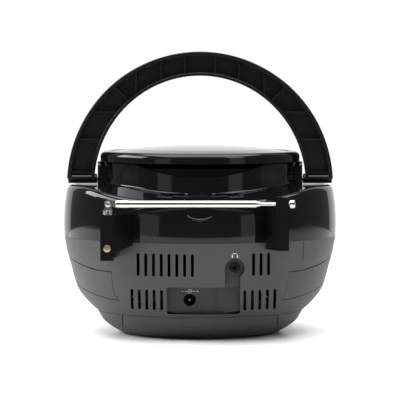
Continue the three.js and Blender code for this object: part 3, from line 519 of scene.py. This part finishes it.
def make_lid():
    seat = WINDOW_RADIUS - 4
    edge = dome(LID_RADIUS)
    lid = lathe("cd_lid_skin", [
        *dome_line(WINDOW_RADIUS + 0.25, LID_RADIUS - 0.9, 10, 0),
        (LID_RADIUS - 0.3, edge - 0.3), (LID_RADIUS, edge - 0.9), (LID_RADIUS, edge - 2.4),
        *reversed(dome_line(seat, LID_RADIUS - 1, 8, 2.6)),
        (seat, dome(seat) - 1.6), (WINDOW_RADIUS, dome(WINDOW_RADIUS) - 1.5),
        (WINDOW_RADIUS, dome(WINDOW_RADIUS) - 0.3)])
    lugs = []
    for _, side in SIDES:
        x = side * HINGE_X
        outline = [(HINGE_Y + 2, 171), *reversed(arc((HINGE_Y, HINGE_Z), 2, 180, 360, 16)),
                   (HINGE_Y - 2, 171)]
        lugs.append(prism("lug", outline, x - 5, x + 5, "x"))
        lugs.append(rod("trunnion", (x - 7.8, HINGE_Y, HINGE_Z), (x + 7.8, HINGE_Y, HINGE_Z), 1))
    combine(lid, lugs, "UNION")
    soften(lid, 0.2)
    finish_piece(lid, "gloss_shell", "lid", "cd_lid")
    radius = WINDOW_RADIUS - 0.3
    window = lathe("lid_window_skin", [*dome_line(0, radius - 0.4, 14, 0),
                                       (radius, dome(radius) - 0.4),
                                       *reversed(dome_line(0, radius, 8, 1.2))], loop=False)
    soften(window, 0.15)
    finish_piece(window, "smoked_window", "lid", "lid_window")


# ------------------------------------------------------------------ handle

def arch_point(share, angle):
    """A point across the arch: share 0 on the inner edge and 1 on the outer edge."""
    out = Vector((HANDLE_OUTER * math.cos(angle), HANDLE_CENTRE + HANDLE_OUTER * math.sin(angle)))
    into = Vector((HANDLE_INNER_X * math.cos(angle),
                   HANDLE_CENTRE + HANDLE_INNER_Z * math.sin(angle)))
    return into.lerp(out, share)


def arch_section(width):
    """The channel's section: [distance from the inner edge, y] points for this width."""
    front, rear = HANDLE_FRONT, HANDLE_REAR
    floor, bend, edge = front + HANDLE_FLOOR, HANDLE_BEND, 0.5
    turns = [math.radians(15 * k) for k in range(7)]
    section = [(edge, rear), (INNER_WALL - 0.4, rear), (INNER_WALL, rear - 0.4),
               (INNER_WALL, floor), (width - OUTER_WALL, floor),
               (width - OUTER_WALL, rear - 0.4), (width - OUTER_WALL + 0.4, rear),
               (width - edge, rear), (width, rear - edge)]
    section += [(width - bend + bend * math.cos(a), front + bend - bend * math.sin(a))
                for a in turns]
    section += [(bend - bend * math.sin(a), front + bend - bend * math.cos(a)) for a in turns]
    return [*section, (0, rear - edge)]


def make_handle():
    start = math.asin((HANDLE_AXIS - HANDLE_CENTRE) / HANDLE_OUTER)
    steps = 160
    rows = []
    for step in range(steps + 1):
        angle = start + (math.pi - 2 * start) * step / steps
        inner = arch_point(0, angle)
        across = arch_point(1, angle) - inner
        width = across.length
        across.normalize()
        rows.append([(inner.x + across.x * u, y, inner.y + across.y * u)
                     for u, y in arch_section(width)])
    count = len(rows[0])
    points = [point for row in rows for point in row]
    faces = [(s * count + i, s * count + (i + 1) % count, (s + 1) * count + (i + 1) % count,
              (s + 1) * count + i) for s in range(steps) for i in range(count)]
    faces += [tuple(range(count)), tuple(range(steps * count, (steps + 1) * count))]
    arch = object_from("handle_skin", points, faces)
    combine(arch, handle_ribs(), "UNION")
    for _, side in SIDES:
        low, high = sorted((side * (EAR_OUTER + 0.8), side * (HANDLE_OUTER - 1)))
        boss = lathe("boss", [(0, 0), (4.1, 0), (4.5, 0.4), (4.5, high - low - 0.6),
                              (3.9, high - low), (0, high - low)], 64, loop=False)
        boss.data.transform(Matrix.Translation(Vector((low, 0, HANDLE_AXIS)) * MM)
                            @ Matrix.Rotation(math.pi / 2, 4, "Y"))
        combine(arch, [boss], "UNION")
        bore_end = side * 112.3
        combine(arch, [rod("bore", (side * 90, 0, HANDLE_AXIS), (bore_end, 0, HANDLE_AXIS), 2.5)])
    soften(arch, 0.3)
    finish_piece(arch, "dark_plastic", "handle", "handle")


def handle_ribs():
    """Thin ribs across the channel, seven on each side of the middle."""
    front, rear = HANDLE_FRONT + 2, HANDLE_REAR - 0.8
    inner, outer = HANDLE_INNER_Z + 1.2, HANDLE_OUTER - 1.2
    ribs = []

    def strip(name, start, end):
        side = 0.7 * Vector((end[1] - start[1], start[0] - end[0])).normalized()
        outline = [Vector(start) + side, Vector(end) + side, Vector(end) - side,
                   Vector(start) - side]
        ribs.append(prism(name, [tuple(p) for p in outline], front, rear))

    def inner_height(x):
        return HANDLE_CENTRE + inner * math.sqrt(1 - (x / (HANDLE_INNER_X + 1.2)) ** 2)

    for sign in (1, -1):
        for x in (14.4, 36.9, 60.9):
            top = HANDLE_CENTRE + math.sqrt(outer ** 2 - x ** 2)
            strip("rib", (sign * x, inner_height(x)), (sign * x, top))
        for z in (209, 183.4, 151.5):
            rise = z - HANDLE_CENTRE
            near = (HANDLE_INNER_X + 1.2) * math.sqrt(1 - (rise / inner) ** 2)
            strip("rib", (sign * near, z), (sign * math.sqrt(outer ** 2 - rise ** 2), z))
        angle = math.radians(48.8)
        near, far = arch_point(0.06, angle), arch_point(0.94, angle)
        strip("rib", (sign * near.x, near.y), (sign * far.x, far.y))
    return ribs


# ------------------------------------------------------------------ aerial

def turned_along_x(name, profile, steps=48, loop=False):
    """A turned piece on the aerial's axis; profile is [x, radius] from +X to -X."""
    made = lathe(name, [(radius, -x) for x, radius in profile], steps, loop)
    made.data.transform(Matrix.Translation((0, AERIAL_Y * MM, AERIAL_Z * MM))
                        @ Matrix.Rotation(-math.pi / 2, 4, "Y"))
    return made


def make_aerial():
    tube = turned_along_x("antenna_tube_skin", [
        (76.4, 0), (76.4, 3.2), (75.8, 3.8), (64.6, 3.8), (64, 3.5), (-50.8, 3.5), (-51.6, 3.2),
        (-52, 2.95), (-50, 2.9), (62, 2.9), (62, 0)])
    neck = block("neck", (74, AERIAL_Y - 1.7, AERIAL_Z - 2.4),
                 (AERIAL_X - 2, AERIAL_Y + 1.7, AERIAL_Z + 2.4))
    eye = rod("eye", (AERIAL_X, AERIAL_Y - 1.7, AERIAL_Z), (AERIAL_X, AERIAL_Y + 1.7, AERIAL_Z),
              3.6, 64)
    combine(tube, [neck], "UNION")
    combine(tube, [eye], "UNION")
    combine(tube, [rod("eye_hole", (AERIAL_X, AERIAL_Y - 3, AERIAL_Z),
                       (AERIAL_X, AERIAL_Y + 3, AERIAL_Z), 1.6, 32)])
    soften(tube, 0.15)
    finish_piece(tube, "chrome", "antenna_outer", "antenna_tube")
    middle = turned_along_x("antenna_middle_skin", [
        (60, 0), (60, 2.5), (-53.4, 2.5), (-54.2, 2.4), (-55, 1.9), (-53, 1.85), (58, 1.85),
        (58, 0)])
    finish_piece(soften(middle, 0.1), "chrome", "antenna_middle", "antenna_mid_tube")
    inner = turned_along_x("antenna_rod_skin", [
        (50, 0), (50, 1.6), (-80.7, 1.6), (-80.8, 3.4), (-81.3, 3.95), (-85, 3.95), (-85.6, 3.3),
        (-86, 2.2), (-86.1, 0)])
    finish_piece(soften(inner, 0.1), "chrome", "antenna_inner", "antenna_rod")


def make_swivel():
    """The fork that turns on the post, with the screw the aerial tilts on."""
    x, y, z = AERIAL_X, AERIAL_Y, AERIAL_Z
    fork = lathe("fork_skin", [(0, 107), (2.4, 107), (2.4, 118.3), (4.3, 118.3), (4.7, 118.7),
                               (4.7, 120), (4.2, 120.3), (4.7, 120.6), (4.7, 122.1), (4.3, 122.5),
                               (0, 122.5)], 64, loop=False)
    fork.data.transform(Matrix.Translation(Vector((x, y, 0)) * MM))
    side = [(x + 4, 121.5), (x + 4, 123), (x + 2.9, 125), *arc((x, z), 3.6, -20, 200, 28),
            (x - 2.9, 125), (x - 4, 123), (x - 4, 121.5)]
    for near, far in ((y + 2, y + 4.2), (y - 4.2, y - 2)):
        combine(fork, [prism("cheek", side, near, far)], "UNION")
    combine(fork, [rod("bore", (x, y - 6, z), (x, y + 6, z), 1.5, 32)])
    finish_piece(soften(fork, 0.25), "chrome", "antenna_swivel", "antenna_fork")
    pin = lathe("pin_skin", [(0, -4.6), (1.3, -4.6), (1.3, 4.25), (2.5, 4.25), (2.5, 4.6),
                             (1.9, 5), (0, 5)], 48, loop=False)
    combine(pin, [block("slot", (-3, -0.35, 4.6), (3, 0.35, 6))])
    finish_piece(soften(along_y(pin, x, y, z), 0.1), "steel", "antenna_swivel", "antenna_pin")


def make_post_screw():
    """The domed screw head with a cross recess in the aerial post."""
    low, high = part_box("post_screw")
    x, z = (low[0] + high[0]) / 2 / MM, (low[2] + high[2]) / 2 / MM
    head = lathe("post_screw_skin", [(0, 0), (3.4, 0), (3.4, 0.7), (3.1, 1.05), (2.2, 1.35),
                                     (1.2, 1.5), (0, 1.5)], 48, loop=False)
    combine(head, [block("slot", (-1.8, -0.45, 0.6), (1.8, 0.45, 2))])
    combine(head, [block("slot", (-0.45, -1.8, 0.6), (0.45, 1.8, 2))])
    finish_piece(soften(along_y(head, x, low[1] / MM, z), 0.08), "brass", "root", "post_screw")


# ------------------------------------------------------------------ speakers

def perforated_disc(name, radius, pitch, hole, crown, thickness):
    """A domed sheet of six-sided cells on a hexagonal grid, each with a round hole."""
    points, faces = [], []
    row_pitch = pitch * 0.866
    rows = int(radius / row_pitch) + 1
    for row in range(-rows, rows + 1):
        for column in range(-rows - 1, rows + 2):
            x = (column + 0.5 * (row % 2)) * pitch
            y = row * row_pitch
            if math.hypot(x, y) > radius - pitch:
                continue
            first = len(points)
            for k in range(12):
                angle = math.radians(30 * k)
                reach = pitch / math.sqrt(3) if k % 2 == 1 else pitch / 2
                points.append((x + reach * math.cos(angle), y + reach * math.sin(angle), 0))
                points.append((x + hole * math.cos(angle), y + hole * math.sin(angle), 0))
            faces += [(first + 2 * k, first + 2 * ((k + 1) % 12), first + 2 * ((k + 1) % 12) + 1,
                       first + 2 * k + 1) for k in range(12)]
    sheet = object_from(name, points, faces)
    for vertex in sheet.data.vertices:
        share = vertex.co.xy.length / (radius * MM)
        vertex.co.z = crown * MM * (1 - share ** 2) - 0.4 * MM
    thick = sheet.modifiers.new("sheet", "SOLIDIFY")
    thick.thickness = thickness * MM
    bake_modifiers(sheet)
    return sheet


def make_speakers():
    for name, side in SIDES:
        bezel = lathe(f"bezel_{name}_skin", [
            (31, -SPEAKER_SLEEVE), (SPEAKER_OPENING, -SPEAKER_SLEEVE),
            *arc((SPEAKER_OPENING - 1.2, 1.3), 1.2, 0, 90, 6),
            *arc((32.2, 1.3), 1.2, 90, 180, 6)], 160)
        finish_piece(at_speaker(soften(bezel, 0.15), side), "gloss_shell", "root",
                     f"speaker_bezel_{name}")
        grille = perforated_disc(f"grille_{name}_skin", radius=31.2, pitch=2.9, hole=0.95,
                                 crown=2.4, thickness=0.7)
        margin = lathe("margin", [(28.2, 0.15), (30.7, -0.3), (30.7, -1.3), (28.2, -0.9)], 160)
        together(grille, margin)
        finish_piece(at_speaker(grille, side), "grille", "root", f"speaker_grille_{name}")
        cone = lathe(f"cone_{name}_skin", [
            (0, -12.6), (4, -13), (7.4, -14.8), (9, -16.6), (23.5, -8),
            *arc((26, -7.4), 2, 170, 10, 8), (28.5, -7.6), (28.5, -8.2), (26, -7),
            (23.6, -9), (9.4, -18), (0, -15)], 128, loop=False)
        finish_piece(at_speaker(soften(cone, 0.1), side), "paper", "root", f"speaker_cone_{name}")


# ------------------------------------------------------------------ sockets, knobs and marks

def along_y(piece, x, y, z, toward=1):
    """Stands a piece turned about Z so that its top faces the rear (1) or front (-1)."""
    piece.data.transform(Matrix.Translation(Vector((x, y, z)) * MM)
                         @ Matrix.Rotation(-toward * math.pi / 2, 4, "X"))
    return piece


def make_sockets():
    power = lathe("power_jack_skin", [
        (0, 0), (5.4, 0), (5.4, 11.9), (5.2, 12.1), (4.8, 12.1), (4.6, 11.8), (4.6, 3), (0, 3)],
        64, loop=False)
    # The jack is drawn nearly black with a weak shine: painted shade in its hole.
    finish_piece(soften(along_y(power, POWER_X, 84, POWER_Z), 0.1), "dark_plastic", "root",
                 "power_jack", material=PAINTED_SHADE_BLACK)
    pin = lathe("power_pin_skin", [(0, 0), (1, 0), (1, 7.2), (0.6, 8), (0, 8)], 32, loop=False)
    finish_piece(along_y(pin, POWER_X, 87.4, POWER_Z), "steel", "root", "power_jack_pin")
    sound = lathe("aux_jack_skin", [
        (0, 0), (4.4, 0), (4.4, 12.8), (4, 13.3), (3.4, 13.3), (3, 12.6), (2.9, 12.2),
        (2.7, 12.9), (2.1, 12.9), (1.9, 12.5), (1.9, 3), (0, 3)], 64, loop=False)
    finish_piece(soften(along_y(sound, SOUND_X, 96, SOUND_Z), 0.1), "dark_plastic", "root",
                 "aux_jack")


def make_knobs():
    """Two fluted knobs, each with a pointer groove in its face."""
    for name, azimuth in (("volume", KNOB_AZIMUTH), ("tuning", -KNOB_AZIMUTH)):
        profile = [(0, -16), (3, -16), (3, 1), (12, 1), *arc((12, 2), 1, 270, 360, 4),
                   *arc((11.2, 8.2), 1.4, 0, 90, 6), (9.6, 9.6), (9, 9.2), (0, 8.8)]

        def flute(point, index):
            x, y, z = point
            on_grip = 4 < index < 12
            ridge = 1 + 0.02 * math.cos(36 * math.atan2(y, x)) if on_grip else 1
            return x * ridge, y * ridge, z

        knob = lathe(f"{name}_knob_skin", profile, 288, loop=False, warp=flute)
        pointer = block("pointer", (-0.5, 4.5, 8.6), (0.5, 9, 9.4))
        combine(knob, [pointer])
        outward = Vector(azimuth_point(azimuth, 1, 0))
        turn = Vector((0, 0, 1)).rotation_difference(outward).to_matrix().to_4x4()
        seat = Vector(azimuth_point(azimuth, KNOB_SEAT, KNOB_Z)) * MM
        knob.data.transform(Matrix.Translation(seat) @ turn)
        finish_piece(soften(knob, 0.12), "bright_trim", name, f"{name}_knob")


def ring_outline(x, z, outer, inner, start=0, end=360, steps=32):
    return [*arc((x, z), outer, start, end, steps),
            *reversed(arc((x, z), inner, start, end, steps))]


def rectangle(x0, z0, x1, z1):
    return [(x0, z0), (x1, z0), (x1, z1), (x0, z1)]


def make_prints():
    """Printed signs at the two sockets: headphones for sound, plug polarity for power."""
    x, z = SOUND_X, SOUND_Z + 11.6
    headphones = [ring_outline(x, z, 2.6, 2.1, 0, 180, 16),
                  rectangle(x - 2.9, z - 1.6, x - 1.7, z + 0.2),
                  rectangle(x + 1.7, z - 1.6, x + 2.9, z + 0.2)]
    skin = bowl_skin("sound_sign", -0.12, 0.2)
    combine(skin, [prism("sign", outline, 60, 140) for outline in headphones], "INTERSECT")
    finish_piece(skin, "bright_trim", "root", material=MARK_WHITE)
    x, z = POWER_X, POWER_Z + 8
    polarity = [ring_outline(x, z, 2, 1.6, 30, 330),
                rectangle(x - 0.5, z - 0.5, x + 0.5, z + 0.5),
                rectangle(x + 0.5, z - 0.2, x + 4.4, z + 0.2),
                rectangle(x - 5, z - 0.2, x - 2, z + 0.2),
                rectangle(x - 8, z - 0.2, x - 6, z + 0.2),
                rectangle(x + 5.4, z - 0.2, x + 7.8, z + 0.2),
                rectangle(x - 7.2, z - 1, x - 6.8, z + 1)]
    signs = [prism("power_sign", outline, POWER_FLOOR - 0.1, POWER_FLOOR + 0.12)
             for outline in polarity]
    finish_piece(together(*signs), "bright_trim", "root", material=MARK_WHITE)


def make_marks():
    """The usual signs on the four keys."""
    front, depth = PANEL_FACE + 0.05, 0.9

    def key_mark(name, outlines, index, body):
        x = (index - 1.5) * KEY_PITCH
        parts = [prism(f"{name}_mark", [(x + u, KEY_Z + v) for u, v in outline],
                       front, front + depth) for outline in outlines]
        finish_piece(together(*parts), "bright_trim", body, material=INK)

    def bar(u0, u1):
        return [(u0, -1.6), (u1, -1.6), (u1, 1.6), (u0, 1.6)]

    right = [(-1.4, -1.6), (1.4, 0), (-1.4, 1.6)]
    left = [(-u, v) for u, v in right]
    key_mark("previous", [[(u + 0.9, v) for u, v in left], bar(-1.5, -0.9)], 0, "key_previous")
    key_mark("stop", [bar(-1.5, 1.5)], 1, "key_stop")
    key_mark("play", [[(u - 1.2, v) for u, v in right], bar(0.9, 1.5), bar(2.1, 2.7)], 2, "key_play")
    key_mark("next", [[(u - 0.9, v) for u, v in right], bar(0.9, 1.5)], 3, "key_next")


def digit_bars(lit, x, z, width, height):
    """The lit bars of one seven-bar figure; bars are numbered clockwise, the middle last."""
    half, t = height / 2, 0.7           # t is the bars' thickness
    bars = [(x, z + height - t, x + width, z + height),
            (x + width - t, z + half, x + width, z + height),
            (x + width - t, z, x + width, z + half), (x, z, x + width, z + t),
            (x, z, x + t, z + half), (x, z + half, x + t, z + height),
            (x, z + half - t / 2, x + width, z + half + t / 2)]
    return [bars[i] for i in lit]


def make_display():
    """Four figures, as two pairs with a wider gap between them."""
    figures = {"1": (1, 2), "2": (0, 1, 3, 4, 6), "0": (0, 1, 2, 3, 4, 5)}
    bars = []
    for place, figure in enumerate("0120"):
        x = -12 + place * 6.4 + (1.6 if place > 1 else 0)
        bars += digit_bars(figures[figure], x, 120.5, 4, 8)
    parts = [block("figure", (x0, PANEL_FACE + 0.1, z0), (x1, PANEL_FACE + 0.5, z1))
             for x0, z0, x1, z1 in bars]
    finish_piece(together(*parts), "display", "root", material=INK).name = "display_figures"


# ------------------------------------------------------------------ CAD nodes that stay

def dress_cad_nodes():
    """Materials and rounded edges for the CAD pieces; the disc deck gets a near-total black, which is
    painted shade for the well under the lid.
    """
    for row in frame["record"]["subparts"]:
        node = frame["nodes"][row["node"]]
        node.data.materials.clear()
        node.data.materials.append(FINISH[row["material_slot"]])
        soften(node, 0.35, 3, 40)
    # The deck in the well under the lid gets the near-black material: painted shade.
    frame["nodes"]["cd_deck"].data.materials[0] = PAINTED_SHADE_BLACK


# ------------------------------------------------------------------ stage, light and camera

def softbox(name, place, size, power, target=(0, 0, 0.12)):
    light = bpy.data.lights.new(name, "AREA")
    light.shape, light.energy = "RECTANGLE", power
    light.size, light.size_y = size
    lamp = bpy.data.objects.new(name, light)
    lamp.location = place
    lamp.visible_camera = False
    lamp.rotation_mode = "QUATERNION"
    lamp.rotation_quaternion = (Vector(target) - Vector(place)).to_track_quat("-Z", "Y")
    bpy.context.scene.collection.objects.link(lamp)


def plain(name, color, glow=0.0):
    made = grained(name, color, 0.3, grain=40, relief=0.001, mottle=0.005, specular=0.3)
    shader = made.node_tree.nodes["Principled BSDF"]
    shader.inputs["Emission Color"].default_value = (1, 1, 1, 1)
    shader.inputs["Emission Strength"].default_value = glow
    return made


def make_stage():
    """A pale table and a white wall behind it, in a dim studio lit from above."""
    table = block("table", (-5000, -900, -20), (5000, 750, -0.2))
    table.data.materials.append(plain("table", (0.9, 0.9, 0.9)))
    wall = block("wall", (-4800, -6050, -3000), (4800, -6000, 8000))
    wall.data.materials.append(plain("wall", (0.02, 0.02, 0.02), 1.0))
    world = bpy.data.worlds.new("studio")
    bpy.context.scene.world = world
    world.use_nodes = True
    background = world.node_tree.nodes["Background"]
    background.inputs["Color"].default_value = (1, 1, 1, 1)
    background.inputs["Strength"].default_value = 0.2
    softbox("top", (0, 0.3, 2.3), (3.2, 2.8), 150, (0, 0, 0))
    softbox("key", (1.9, -0.1, 1.2), (1.6, 0.9), 45)
    softbox("fill", (-1.5, 1.5, 1.6), (0.8, 0.8), 8)
    for name, side in SIDES:
        softbox("rear_" + name, (side * 2, 2.2, 0.2), (0.9, 1.2), 2.5)


def make_camera():
    data = bpy.data.cameras.new("camera")
    data.lens, data.sensor_width = 236, 36
    camera = bpy.data.objects.new("camera", data)
    distance, elevation = 2.5, math.radians(2.85)
    target = Vector((0, 0, 0.1253))
    camera.location = target + distance * Vector((0, math.cos(elevation), math.sin(elevation)))
    camera.rotation_mode = "QUATERNION"
    camera.rotation_quaternion = (target - camera.location).to_track_quat("-Z", "Y")
    bpy.context.scene.collection.objects.link(camera)
    bpy.context.scene.camera = camera
    bpy.context.scene.view_settings.view_transform = "Standard"


make_camera()
make_stage()
dress_cad_nodes()
make_lower_shell()
make_cheeks()
make_foot()
make_upper_shell()
make_rim()
make_lid()
make_handle()
make_aerial()
make_swivel()
make_post_screw()
make_speakers()
make_sockets()
make_knobs()
make_prints()
make_marks()
make_display()
